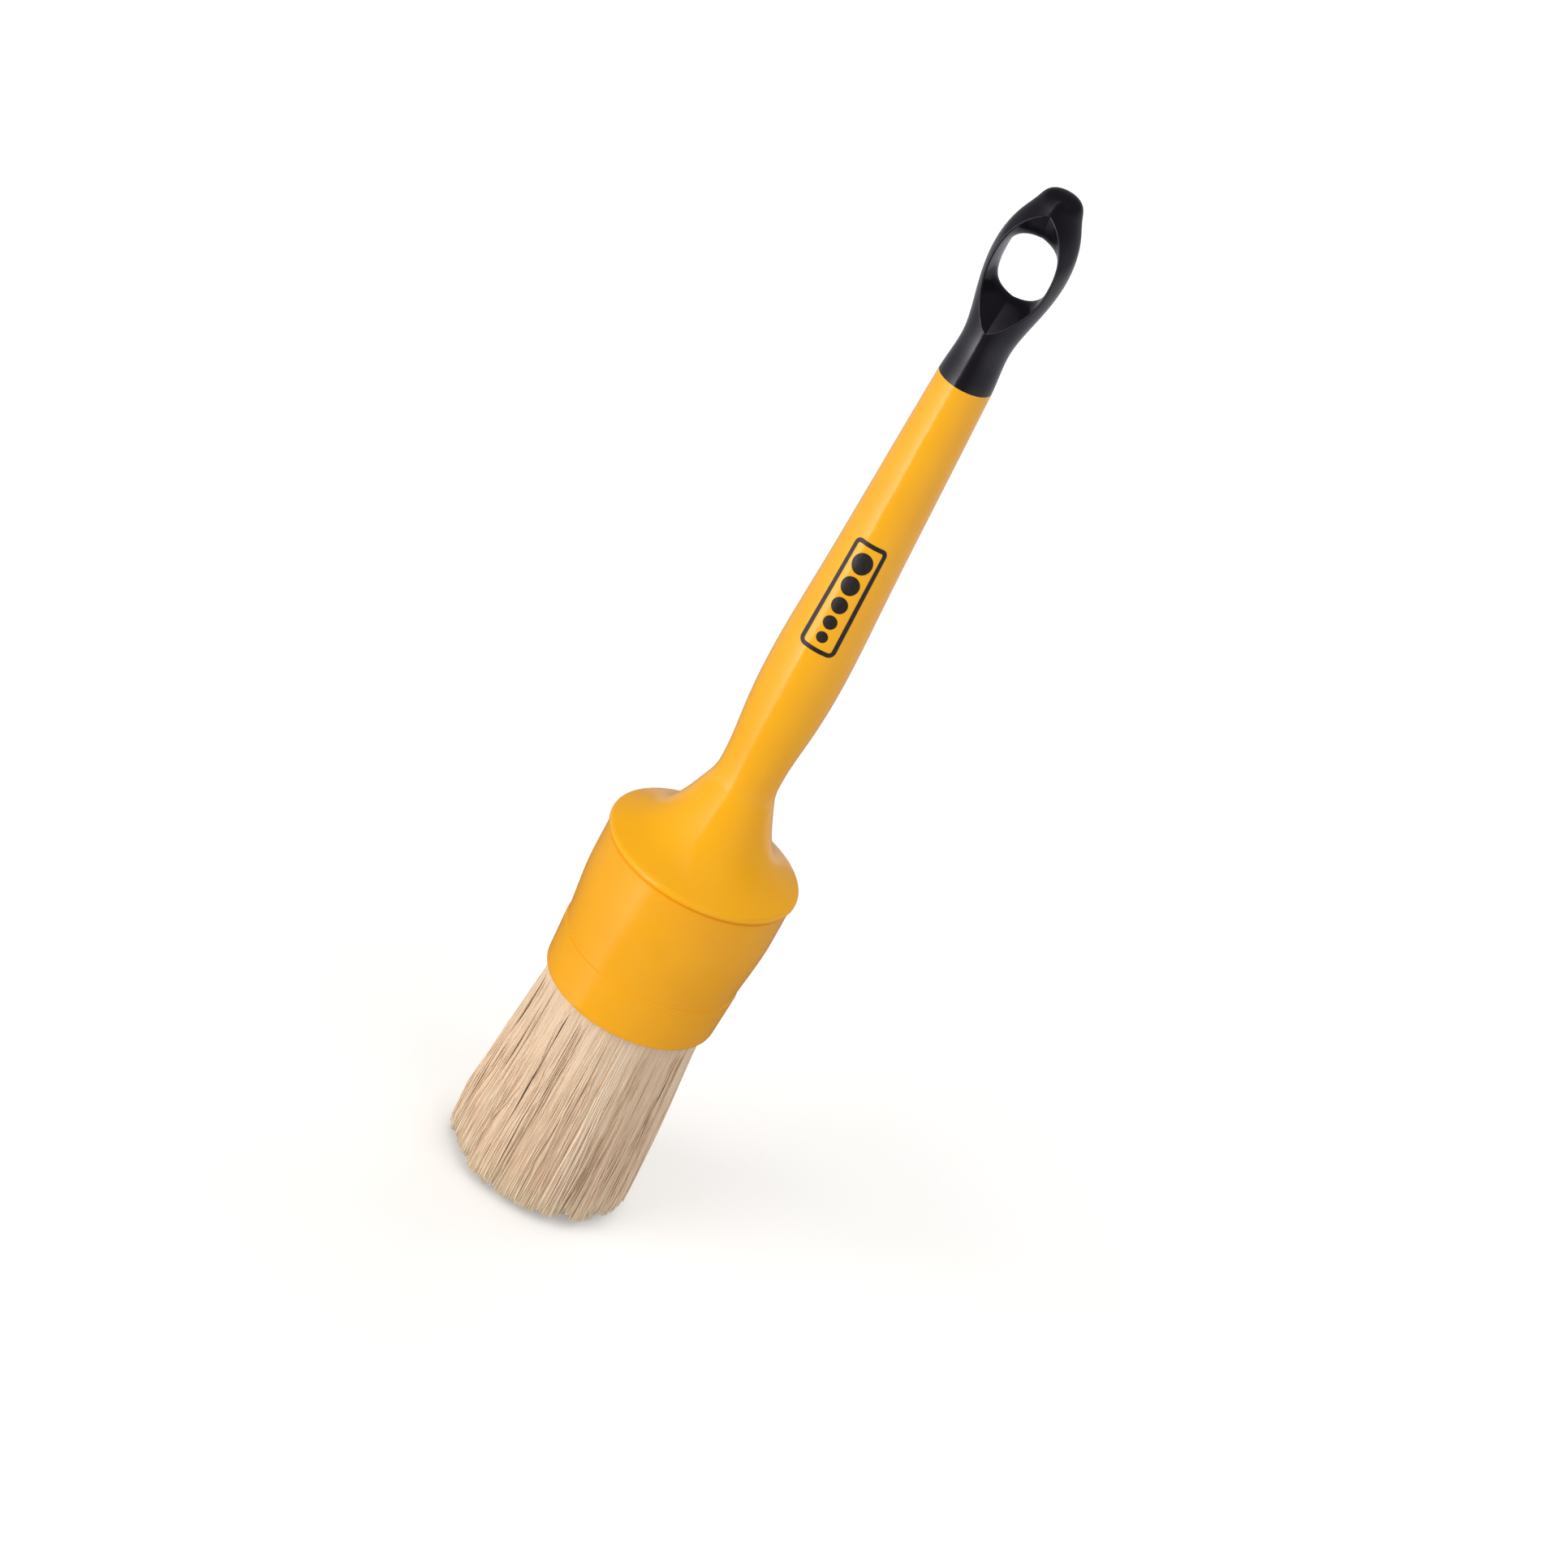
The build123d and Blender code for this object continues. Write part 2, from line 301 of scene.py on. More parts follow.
class BrushPrint(bpy.types.PropertyGroup):
    middle: bpy.props.FloatProperty(
        name="Middle height",
        description="Height of the printed mark's middle over the bristle ends",
        subtype="DISTANCE",
        unit="LENGTH",
        default=0.1615,
    )
    length: bpy.props.FloatProperty(
        name="Length",
        description="Length of the printed mark along the grip",
        subtype="DISTANCE",
        unit="LENGTH",
        default=0.027,
    )
    width: bpy.props.FloatProperty(
        name="Width",
        description="Width of the printed mark round the grip",
        subtype="DISTANCE",
        unit="LENGTH",
        default=0.0086,
    )
    line: bpy.props.FloatProperty(
        name="Line",
        description="Width of the frame's line",
        subtype="DISTANCE",
        unit="LENGTH",
        default=0.001,
    )
    turn: bpy.props.FloatProperty(
        name="Turn",
        description="Turn of the printed mark round the grip from the eye's front, anticlockwise from above",
        subtype="ANGLE",
        unit="ROTATION",
        default=radians(6),
    )
    ink: colour_property("Ink", "Colour of the ink", "#1E1A18")


class BrushBristle(bpy.types.PropertyGroup):
    thickness: bpy.props.FloatProperty(
        name="Hair thickness",
        description="Thickness of a drawn hair, which stands for two or three real ones",
        subtype="DISTANCE",
        unit="LENGTH",
        precision=5,
        default=0.0003,
    )
    skin_hairs: bpy.props.IntProperty(
        name="Outer hairs", description="Finely curved hairs in the skin of an outer tuft", default=1000
    )
    fill_hairs: bpy.props.IntProperty(
        name="Filling hairs", description="Plainer hairs that fill a tuft behind its skin", default=600
    )
    ragged: bpy.props.FloatProperty(
        name="Raggedness",
        description="How much the hairs' ends differ in height",
        subtype="DISTANCE",
        unit="LENGTH",
        default=0.0009,
    )
    seed: bpy.props.IntProperty(name="Seed", description="Another seed lays the hairs out anew", default=7)
    dark: colour_property("Darkest hair", "Colour of the darkest hairs", "#CCA984")
    body: colour_property("Common hair", "Colour of most hairs", "#F5DABD")
    light: colour_property("Palest hair", "Colour of the palest hairs", "#FDEAD3")
    # The split ends' colour is partly painted light that lifts the tips, which sit in shade
    tip: colour_property("Split ends", "Colour of the hairs' split ends", "#FFEACD")


class BrushStage(bpy.types.PropertyGroup):
    azimuth: bpy.props.FloatProperty(
        name="Azimuth",
        description="The camera's turn round the brush from its front",
        subtype="ANGLE",
        unit="ROTATION",
        default=radians(9),
    )
    elevation: bpy.props.FloatProperty(
        name="Elevation",
        description="The camera's height above the level",
        subtype="ANGLE",
        unit="ROTATION",
        default=radians(28),
    )
    roll: bpy.props.FloatProperty(
        name="Roll",
        description="The camera's roll, which makes the brush lean in the picture",
        subtype="ANGLE",
        unit="ROTATION",
        default=radians(28.79),
    )
    pan: bpy.props.FloatProperty(
        name="Pan",
        description="The camera's small turn to the right before the roll",
        subtype="ANGLE",
        unit="ROTATION",
        default=radians(0.4232),
    )
    distance: bpy.props.FloatProperty(
        name="Distance",
        description="Camera to the point it turns round",
        subtype="DISTANCE",
        unit="LENGTH",
        default=1.005,
    )
    aim: bpy.props.FloatProperty(
        name="Aim height",
        description="Height of the point that the camera turns round",
        subtype="DISTANCE",
        unit="LENGTH",
        default=0.1133,
    )
    lens: bpy.props.FloatProperty(
        name="Lens",
        description="The camera's focal length in millimetres",
        subtype="DISTANCE_CAMERA",
        default=110.0,
    )
    floor: colour_property("Floor", "Colour of the floor", "#F4F4F4")


class BrushSettings(bpy.types.PropertyGroup):
    plastics: bpy.props.PointerProperty(type=BrushPlastics)
    mark: bpy.props.PointerProperty(type=BrushPrint)
    bristle: bpy.props.PointerProperty(type=BrushBristle)
    stage: bpy.props.PointerProperty(type=BrushStage)


# ---- Bristle ----


# Stations along a hair's free length: the root, the mouth, and on to the tip, whose cone is short
FINE = np.array([0, 0, 0.12, 0.24, 0.36, 0.48, 0.6, 0.72, 0.84, 0.94, 0.997, 1.0])
PLAIN = np.array([0, 0, 0.3, 0.6, 0.85, 0.997, 1.0])

# The bundle's outlines as (height, radius) in millimetres: its skin, the joint between its two rings of
# tufts, and its middle, which is empty round the core peg and closes below it
SKIN = (
    (0, 20.5),
    (3, 20.6),
    (8, 20.65),
    (15, 20.4),
    (25, 19.75),
    (35, 19.1),
    (45, 18.45),
    (50.8, 18.35),
    (62.8, 18.3),
)
JOINT = ((0, 12.9), (50.8, 12.4), (62.8, 12.3))
MIDDLE = ((0, 0.4), (25, 0.6), (50.8, 6.2), (62.8, 6.3))

START_Z = ROOT_Z - 0.5 * MM  # the hairs start just short of the resin
LOWEST = 0.1 * MM  # the longest hairs end this far over the floor
RIM_ROUND = 2.4 * MM  # the bundle's cut end curves up over its outermost ring of this width
RIM_RISE = 0.8 * MM  # and by this much at its rim
NOTCH_WIDE = 0.9 * MM  # from a notch's middle to where it is about a third as deep
TUFT_FILL = 0.985  # of its wedge, so that neighbours stay apart
LOCKS = 11  # in one tuft
COLUMNS = 48  # of the hairs' UV map
TAPER = ((0, 0.8, 1), (1.0, 0.95, 0.6))  # places along a hair, and its share of the full thickness there

# Standard deviations of how far a lock leans aside and stands out, and a hair leans and waves in it
LOCK_LEAN = 0.5 * MM
LOCK_LIFT = 0.22 * MM
HAIR_LEAN = 0.45 * MM
HAIR_WAVE = 0.12 * MM

HAIR_LIFT = 0.12 * MM  # how far a hair's tip stands out from its place, on average
WAVE_LONG = (20 * MM, 50 * MM)  # the least and the most length of a wave
STRAYS = 0.02  # the share of hairs that stray

# How one tuft differs from the others: its tone, a painted shade that darkens the tuft beside a proud lock,
# one pale lock that stands out from its skin, and how deep the notch in its end is, with the notch's place
# across the tuft from -1 to 1
PLAIN_LOOK = {"tone": 0.0, "proud": False, "notch": 0.0, "notch_at": 0.0}


def tuft_look(index):
    """An outer tuft's own look. Steps by the golden ratio keep neighbours apart from each other."""
    share, other = index * 0.618 % 1, index * 0.382 % 1
    return {
        # Painted shade: the tuft after each proud one gets a darker tone, as the shaded side beside that
        # lock
        "tone": -0.05 if index % 7 == 6 else 0.0,
        "proud": index % 7 == 5,
        "notch": (1.0 + 1.6 * other) * MM,
        "notch_at": 1.6 * share - 0.8,
    }


def outline(levels, table):
    """Radii at these heights, read between the (height, radius) pairs of a table in millimetres."""
    heights, radii = zip(*table)
    return np.interp(levels, np.array(heights) * MM, np.array(radii) * MM)


def make_locks(ragged, tone, rng):
    """The locks that a tuft's hairs gather in: each one's place across the tuft and down into it, the two
    heights where it is pinched, its lean, lift and end, and its tint, which carries the tuft's painted
    shade."""
    return {
        "across": rng.uniform(-1, 1, LOCKS),
        "depth": rng.random(LOCKS) ** 1.6,
        "pinch_at": rng.uniform(2 * MM, MOUTH_Z, (LOCKS, 2)),
        "pinch_long": rng.uniform(6 * MM, 15 * MM, (LOCKS, 2)),
        "pinch_by": rng.uniform(0.03, 0.24, (LOCKS, 2)),
        "lean": rng.normal(0, LOCK_LEAN, LOCKS),
        "lift": rng.normal(0, LOCK_LIFT, LOCKS),
        "end": (np.abs(rng.normal(0, 1.1, LOCKS)) + rng.uniform(0, 1.6)) * ragged,
        "tint": rng.normal(0, 0.15, LOCKS) + tone,
    }


def make_proud(locks):
    """Makes a tuft's first lock stand out from its skin: straight, hardly pinched, and pale, a painted
    highlight on the lock that catches the light.
    """
    for key, value in (
        ("across", 0.15),
        ("depth", 0.0),
        ("lift", 0.7 * MM),
        # the pale tint is a painted highlight on the lock that stands out
        ("tint", 0.3),
        ("lean", 0.0),
        ("pinch_by", 0.05),
    ):
        locks[key][0] = value


def hair_lines(count, wedge, near, far, stations, bristle, rng, skin, look=PLAIN_LOOK):
    """Lines of hairs in one tuft, as an array of (hair, station, xyz), with each hair's tint.
    The wedge is (middle angle, half width), near and far its (height, radius) outlines."""
    middle, half = wedge
    across = rng.uniform(-1, 1, count)
    depth = rng.random(count) ** (3.0 if skin else 0.8)  # 0 at the outside
    wide, deep = outline(MOUTH_Z, far) * half, outline(MOUTH_Z, far) - outline(MOUTH_Z, near)
    # Each hair joins the nearest lock
    locks = make_locks(bristle.ragged, look["tone"], rng)
    proud = look["proud"] and skin
    if proud:
        make_proud(locks)
    beside = (across[:, None] - locks["across"]) * wide
    below = (depth[:, None] - locks["depth"]) * deep
    gap = beside**2 + below**2
    if proud:
        gap[:, 0] -= (1.1 * MM) ** 2  # it takes in more hairs than the others
    nearest = gap.argmin(1)
    own = {key: value[nearest] for key, value in locks.items()}
    # Ends: ragged, notched, and cut shorter towards the rim
    edge = np.clip((1 - depth) * deep - (deep - RIM_ROUND), 0, None) / RIM_ROUND
    end = LOWEST + own["end"] + rng.exponential(0.22, count) * bristle.ragged + RIM_RISE * edge**2
    end += look["notch"] * np.exp(-(((across - look["notch_at"]) * wide / NOTCH_WIDE) ** 2))
    end = np.clip(end, LOWEST, None)
    level = MOUTH_Z + (end[:, None] - MOUTH_Z) * stations
    level[:, 0] = START_Z
    free = np.clip((MOUTH_Z - level) / MOUTH_Z, 0, 1)
    # A hair leans towards its lock's middle, most where the lock is pinched
    pull = np.zeros_like(level)
    for each in range(2):
        away = (level - own["pinch_at"][:, each][:, None]) / own["pinch_long"][:, each][:, None]
        pull += own["pinch_by"][:, each][:, None] * np.exp(-(away**2))
    pull *= np.clip(free * 8, 0, 1)
    u = across[:, None] + (own["across"][:, None] - across[:, None]) * pull
    v = depth[:, None] + (own["depth"][:, None] - depth[:, None]) * pull
    # It leans and waves a little by itself, and a stray one does so more
    lean = rng.normal(0, HAIR_LEAN, count)[:, None] + own["lean"][:, None]
    stray = rng.random(count) < STRAYS
    lean[stray] *= 2.5
    wave = np.abs(rng.normal(0, HAIR_WAVE, count))[:, None] * (1 + 2 * stray[:, None])
    phase, long = rng.uniform(0, tau, (2, count, 1)), rng.uniform(*WAVE_LONG, (2, count, 1))
    side = lean * free**1.5 + wave * np.sin(tau * level / long[0] + phase[0]) * np.clip(free * 4, 0, 1)
    lift = wave * 0.7 * np.sin(tau * level / long[1] + phase[1]) * np.clip(free * 4, 0, 1)
    lift += (rng.exponential(HAIR_LIFT, count)[:, None] + 0.5 * MM * stray[:, None]) * free
    lift += own["lift"][:, None] * np.clip(free * 2, 0, 1)
    low, high = outline(level, near), outline(level, far) - 0.6 * bristle.thickness
    radius = high - (high - low) * np.clip(v, 0, 1) + lift
    angle = middle + half * u * TUFT_FILL + side / radius
    lines = np.stack([radius * np.cos(angle), radius * np.sin(angle), level], 2)
    # Deeper hairs get a darker tint: painted shade inside the tuft
    tint = np.clip(0.5 + own["tint"] + rng.normal(0, 0.2, count) - 0.25 * depth, 0, 1)
    return lines, tint


def hair_tubes(lines, tint, along, thickness, rng):
    """Three-sided tapering tubes round the lines: vertices, quads, end triangles and the two attributes."""
    hairs, stations, _ = lines.shape
    rings = stations - 1
    taper = np.interp(along[:rings], *TAPER) * thickness / 2
    spin = rng.uniform(0, tau, hairs)[:, None, None] + tau / 3 * np.arange(3)
    size = taper[None, :, None] * rng.uniform(0.75, 1.15, hairs)[:, None, None]
    ring = np.repeat(lines[:, :rings, None, :], 3, 2)
    ring[..., 0] += size * np.cos(spin)
    ring[..., 1] += size * np.sin(spin)
    per_hair = rings * 3 + 1
    points = np.concatenate([ring.reshape(hairs, -1, 3), lines[:, -1:, :]], 1)
    start = (np.arange(hairs) * per_hair)[:, None, None]
    at = start + (np.arange(rings - 1) * 3)[None, :, None]
    here, after = np.arange(3), (np.arange(3) + 1) % 3
    quads = np.stack([at + here, at + 3 + here, at + 3 + after, at + after], -1).reshape(-1, 4)
    last = start[:, 0] + (rings - 1) * 3
    ends = np.stack([last + here, np.repeat(start[:, 0] + rings * 3, 3, 1), last + after], -1).reshape(-1, 3)
    caps = np.stack([start[:, 0, 0], start[:, 0, 0] + 1, start[:, 0, 0] + 2], -1)
    point_along = np.tile(np.append(np.repeat(along[:rings], 3), 1.0), hairs)
    return points.reshape(-1, 3), quads, np.concatenate([ends, caps]), np.repeat(tint, per_hair), point_along


def smooth_mesh(name, points, corners, quads, triangles):
    """A smooth-shaded mesh from its points and its faces' corners: first the quads', then the triangles'."""
    mesh = bpy.data.meshes.new(name)
    mesh.vertices.add(len(points))
    mesh.vertices.foreach_set("co", points.astype(np.float32).ravel())
    mesh.loops.add(len(corners))
    mesh.loops.foreach_set("vertex_index", corners.astype(np.int32))
    starts = np.concatenate([np.arange(quads) * 4, quads * 4 + np.arange(triangles) * 3])
    mesh.polygons.add(len(starts))
    mesh.polygons.foreach_set("loop_start", starts.astype(np.int32))
    mesh.update(calc_edges=True)
    mesh.polygons.foreach_set("use_smooth", np.ones(len(starts), bool))
    return mesh


def hair_piece(name, parts, material):
    """One mesh object from several hair_tubes results, with their attributes and a UV map."""
    points, quads, ends, tints, alongs = zip(*parts)
    bases = np.cumsum([0, *map(len, points[:-1])])  # each part's first point in the joined list
    quads = np.concatenate([each + base for each, base in zip(quads, bases)])
    ends = np.concatenate([each + base for each, base in zip(ends, bases)])
    points, tints, alongs = np.concatenate(points), np.concatenate(tints), np.concatenate(alongs)
    corners = np.concatenate([quads.ravel(), ends.ravel()])
    mesh = smooth_mesh(name, points, corners, len(quads), len(ends))
    for title, values in (("tint", tints), ("along", alongs)):
        mesh.attributes.new(title, "FLOAT", "POINT").data.foreach_set("value", values.astype(np.float32))
    # A map for whoever bakes the colours: a column for each step of tint, and up along the hair
    turn = np.concatenate([np.tile((0, 0, 1, 1), len(quads)), np.tile((0, 0.5, 1), len(ends))])
    across = (np.floor(tints[corners] * (COLUMNS - 1)) + 0.15 + 0.7 * turn) / COLUMNS
    layer = mesh.uv_layers.new(name="OFBake")
    both = np.stack([across, 0.02 + 0.96 * alongs[corners]], 1)
    layer.uv.foreach_set("vector", both.astype(np.float32).ravel())
    mesh.validate()
    mesh.materials.append(material)
    piece = bpy.data.objects.new(name, mesh)
    bpy.context.scene.collection.objects.link(piece)
    return piece


def tuft_wedge(index, count):
    """Middle angle and half width of one of a ring's tufts; tuft 1 lies just short of the +X axis."""
    return (index - 0.5) * tau / count, pi / count


class BRUSH_OT_outer_tufts(bpy.types.Operator):
    """Make the outer tufts of bristle, hair by hair"""

    bl_idname = "brush.outer_tufts"
    bl_label = "Outer tufts"

    def execute(self, context):
        settings = context.scene.brush.bristle
        material = bristle_material(settings)
        for index, node in enumerate(OUTER_TUFTS):
            rng = np.random.default_rng([settings.seed, index])
            wedge = tuft_wedge(index, len(OUTER_TUFTS))
            parts = []
            for count, stations, skin in (
                (settings.skin_hairs, FINE, True),
                (settings.fill_hairs, PLAIN, False),
            ):
                lines, tint = hair_lines(
                    count, wedge, JOINT, SKIN, stations, settings, rng, skin, tuft_look(index)
                )
                parts.append(hair_tubes(lines, tint, stations, settings.thickness, rng))
            piece = hair_piece(node.replace("tuft", "hair"), parts, material)
            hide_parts(node)
            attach(piece, "root")
        return {"FINISHED"}


class BRUSH_OT_inner_tufts(bpy.types.Operator):
    """Make the inner tufts of bristle, hair by hair"""

    bl_idname = "brush.inner_tufts"
    bl_label = "Inner tufts"

    def execute(self, context):
        settings = context.scene.brush.bristle
        material = bristle_material(settings)
        for index, node in enumerate(INNER_TUFTS):
            rng = np.random.default_rng([settings.seed, 100 + index])
            wedge = tuft_wedge(index, len(INNER_TUFTS))
            count = settings.skin_hairs + settings.fill_hairs // 2
            lines, tint = hair_lines(count, wedge, MIDDLE, JOINT, PLAIN, settings, rng, False)
            parts = [hair_tubes(lines, tint, PLAIN, settings.thickness, rng)]
            piece = hair_piece(node.replace("tuft", "hair"), parts, material)
            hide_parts(node)
            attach(piece, "root")
        return {"FINISHED"}


def bristle_material(settings):
    """The one bristle material, made at its first use."""
    found = bpy.data.materials.get("Natural hog bristle, washed")
    return found or natural_bristle(settings.dark, settings.body, settings.light, settings.tip)


# ---- Plastics ----


class BRUSH_OT_plastics(bpy.types.Operator):
    """Give the handle, ferrule, hanging end, resin and core peg their materials"""

    bl_idname = "brush.plastics"
    bl_label = "Plastics, resin and peg"

    def execute(self, context):
        colours = context.scene.brush.plastics
        yellow = moulded_plastic(
            "Polypropylene, gloss moulded, yellow",
            colours.yellow,
            colours.yellow_shade,
            rough=(0.16, 0.22),
            wave=0.1,
            grain=0.002,
        )
        ferrule = moulded_plastic(
            "Polypropylene, worn mould, yellow",
            colours.ferrule,
            colours.ferrule_shade,
            rough=(0.2, 0.28),
            wave=0.12,
            grain=0.003,
        )
        black = moulded_plastic(
            "Polypropylene, gloss moulded, black",
            colours.black,
            "#18161C",
            rough=(0.14, 0.2),
            wave=0.08,
            grain=0.002,
        )
        finishes = {
            "handle": yellow,
            "ferrule": ferrule,
            "hanger_loop": black,
            "resin_plug": cast_resin(),
            "core_peg": turned_beech(),
        }
        for name, material in finishes.items():
            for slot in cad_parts[name].material_slots:
                slot.material = material
        return {"FINISHED"}


# ---- Printed mark ----


FILM = 0.03 * MM  # the ink's thickness, and its gap to the grip
FACET = 0.9 * MM  # longer edges than this don't follow the grip's round
GRIP_RADIUS = 8.3 * MM  # the grip's usual radius at the mark
OUTSIDE = 30 * MM  # from the grip's axis, well clear of its skin


def deselect():
    """Leaves nothing selected, so that the next operator acts on its own piece alone."""
    bpy.ops.object.select_all(action="DESELECT")


def join(pieces, name):
    """Joins flat pieces into the first one, by the operator, and names it."""
    deselect()
    for piece in pieces:
        piece.select_set(True)
    bpy.context.view_layer.objects.active = pieces[0]
    bpy.ops.object.join()
    joined = bpy.context.object
    joined.name = joined.data.name = name
    return joined


def flat_dot(z, radius):
    """A filled round dot in the XZ plane, as a fan of triangles cut once more."""
    deselect()
    bpy.ops.mesh.primitive_circle_add(
        vertices=32, radius=radius, fill_type="TRIFAN", location=(0, 0, z), rotation=(pi / 2, 0, 0)
    )
    dot = bpy.context.object
    bpy.ops.object.mode_set(mode="EDIT")
    bpy.ops.mesh.select_all(action="SELECT")
    bpy.ops.mesh.subdivide(number_cuts=1)
    bpy.ops.object.mode_set(mode="OBJECT")
    return dot


def flat_frame(length, width, line):
    """A frame with rounded corners in the XZ plane: a plate is inset, and the inner face deleted."""
    deselect()
    bpy.ops.mesh.primitive_plane_add(size=1, location=(0, 0, 0), rotation=(pi / 2, 0, 0))
    plate = bpy.context.object
    plate.scale = (width, length, 1)
    bpy.ops.object.transform_apply(location=True, rotation=True, scale=True)
    bpy.ops.object.mode_set(mode="EDIT")
    bpy.ops.mesh.select_all(action="SELECT")
    bpy.ops.mesh.bevel(offset=1.6 * MM, segments=8, affect="VERTICES")
    bpy.ops.mesh.inset(thickness=line, depth=0)
    bpy.ops.mesh.delete(type="FACE")
    bpy.ops.object.mode_set(mode="OBJECT")
    return plate


def flat_mark(mark):
    """The whole mark, flat: the frame, with its dots in a row that grow upwards and lie evenly apart."""
    parts = [flat_frame(mark.length, mark.width, mark.line)]
    radii = [0.5 * share * mark.width for share in (0.3, 0.37, 0.44, 0.51, 0.58)]
    room = mark.length - 2 * (mark.line + 1.4 * MM)  # the row's length, clear of the frame
    space = (room - 2 * sum(radii)) / (len(radii) - 1)
    z = -room / 2
    for radius in radii:
        parts.append(flat_dot(z + radius, radius))
        z += 2 * radius + space
    piece = join(parts, "grip_mark")
    bpy.ops.object.transform_apply(location=True, rotation=True, scale=True)
    bpy.ops.object.mode_set(mode="EDIT")
    bpy.ops.mesh.select_all(action="SELECT")
    bpy.ops.mesh.remove_doubles(threshold=1e-6)
    bpy.ops.mesh.quads_convert_to_tris()
    bpy.ops.object.mode_set(mode="OBJECT")
    return piece


def halve_long_edges(piece):
    """Halves the piece's long edges, up to four times, until it can bend to the grip."""
    mesh = piece.data
    for _ in range(4):
        bpy.ops.object.mode_set(mode="EDIT")
        bpy.ops.mesh.select_all(action="DESELECT")
        bpy.ops.object.mode_set(mode="OBJECT")
        ends = [[mesh.vertices[end].co for end in edge.vertices] for edge in mesh.edges]
        long = [edge for edge, (one, other) in zip(mesh.edges, ends) if (one - other).length > FACET]
        if not long:
            break
        for edge in long:
            edge.select = True
        bpy.ops.object.mode_set(mode="EDIT")
        bpy.ops.mesh.select_mode(type="EDGE")
        bpy.ops.mesh.subdivide(number_cuts=1)
        bpy.ops.mesh.select_mode(type="VERT")
        bpy.ops.object.mode_set(mode="OBJECT")


def lay_on_grip(piece, mark):
    """Rolls the flat piece round the grip's axis and lays it on the skin, so that its lines stay true."""
    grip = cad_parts["handle"]
    for vertex in piece.data.vertices:
        angle = vertex.co.x / GRIP_RADIUS + mark.turn
        outward = Vector((sin(angle), -cos(angle), 0))
        axis = Vector((0, 0, vertex.co.z + mark.middle))
        met, skin, _, _ = grip.ray_cast(axis + outward * OUTSIDE, -outward)
        if not met:
            raise RuntimeError("the mark reaches past the grip")
        vertex.co = skin + outward * FILM


def face_outwards(piece):
    """Turns all of the piece's faces away from the grip's axis."""
    deselect()
    piece.select_set(True)
    bpy.context.view_layer.objects.active = piece
    bpy.ops.object.mode_set(mode="EDIT")
    bpy.ops.mesh.select_all(action="SELECT")
    bpy.ops.mesh.normals_make_consistent(inside=False)
    bpy.ops.object.mode_set(mode="OBJECT")
    outwards = sum(face.normal.dot(face.center * Vector((1, 1, 0))) for face in piece.data.polygons)
    if outwards < 0:
        piece.data.flip_normals()


class BRUSH_OT_grip_mark(bpy.types.Operator):
    """Print the plain size mark on the grip: a frame with a row of growing dots"""

    bl_idname = "brush.grip_mark"
    bl_label = "Printed grip mark"

    def execute(self, context):
        mark = context.scene.brush.mark
        piece = flat_mark(mark)
        halve_long_edges(piece)
        lay_on_grip(piece, mark)
        face_outwards(piece)
        film = piece.modifiers.new("Film", "SOLIDIFY")
        film.thickness, film.offset = FILM, 1.0
        bpy.ops.object.modifier_apply(modifier=film.name)
        bpy.ops.object.shade_smooth_by_angle(angle=radians(40))
        piece.data.materials.append(printed_ink(mark.ink))
        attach(piece, "root")
        return {"FINISHED"}


# ---- Stage ----


TENT_RADIUS = 1.3
TENT_LIFT = 0.2 * MM  # clear of the floor
CARD_LEVEL = 6.2  # of the brightest card

# What stands round the brush to be mirrored: degrees to the camera's left, and the card's level there.
# A long softbox fades out to the left and has a hard right edge, and a black flag stands beside it.
CARDS = (
    (180, 0.5),
    (110, 0.55),
    (80, 0.9),
    (55, 2.0),
    (38, 4.0),
    (27.5, CARD_LEVEL),
    (26, 0.14),
    (-10, 0.12),
    (-31, 0.45),
    (-53, 0.7),
    (-100, 0.75),
    (-180, 0.5),
)

# The lamps: degrees to the camera's left, height and spread in degrees, strength and colour
LAMPS = {
    "key": (50, 20, 45, 1.75, "#FFFCF6"),
    "top": (-20, 72, 60, 0.5, "#FFFFFF"),
    "fill": (-55, 25, 60, 0.35, "#FFF9F3"),
    "back": (-155, 30, 60, 0.8, "#FFFCF6"),
}


def broad_lamp(name, direction, height, spread, strength, colour):
    """A broad, far lamp, from this level direction and this many degrees up. Mirrors don't see it."""
    data = bpy.data.lights.new(name, "SUN")
    data.energy, data.angle, data.color = strength, radians(spread), linear(colour)[:3]
    lamp = bpy.data.objects.new(name, data)
    towards = direction * cos(radians(height)) + Vector((0, 0, sin(radians(height))))
    lamp.rotation_euler = towards.to_track_quat("Z", "Y").to_euler()
    lamp.visible_glossy = False
    bpy.context.scene.collection.objects.link(lamp)


def seen_rays(tree):
    """1 for the rays of the camera, of mirrors and of clear things, 0 for the rays that gather light."""
    rays = put(tree, "ShaderNodeLightPath")
    seen = put(
        tree,
        "ShaderNodeMath",
        {"operation": "MAXIMUM"},
        i0=rays.outputs["Is Camera Ray"],
        i1=rays.outputs["Is Glossy Ray"],
    )
    return put(
        tree,
        "ShaderNodeMath",
        {"operation": "MAXIMUM"},
        i0=seen.outputs[0],
        i1=rays.outputs["Is Transmission Ray"],
    ).outputs[0]


def grey(level):
    """A grey as linear RGBA."""
    return (level, level, level, 1.0)


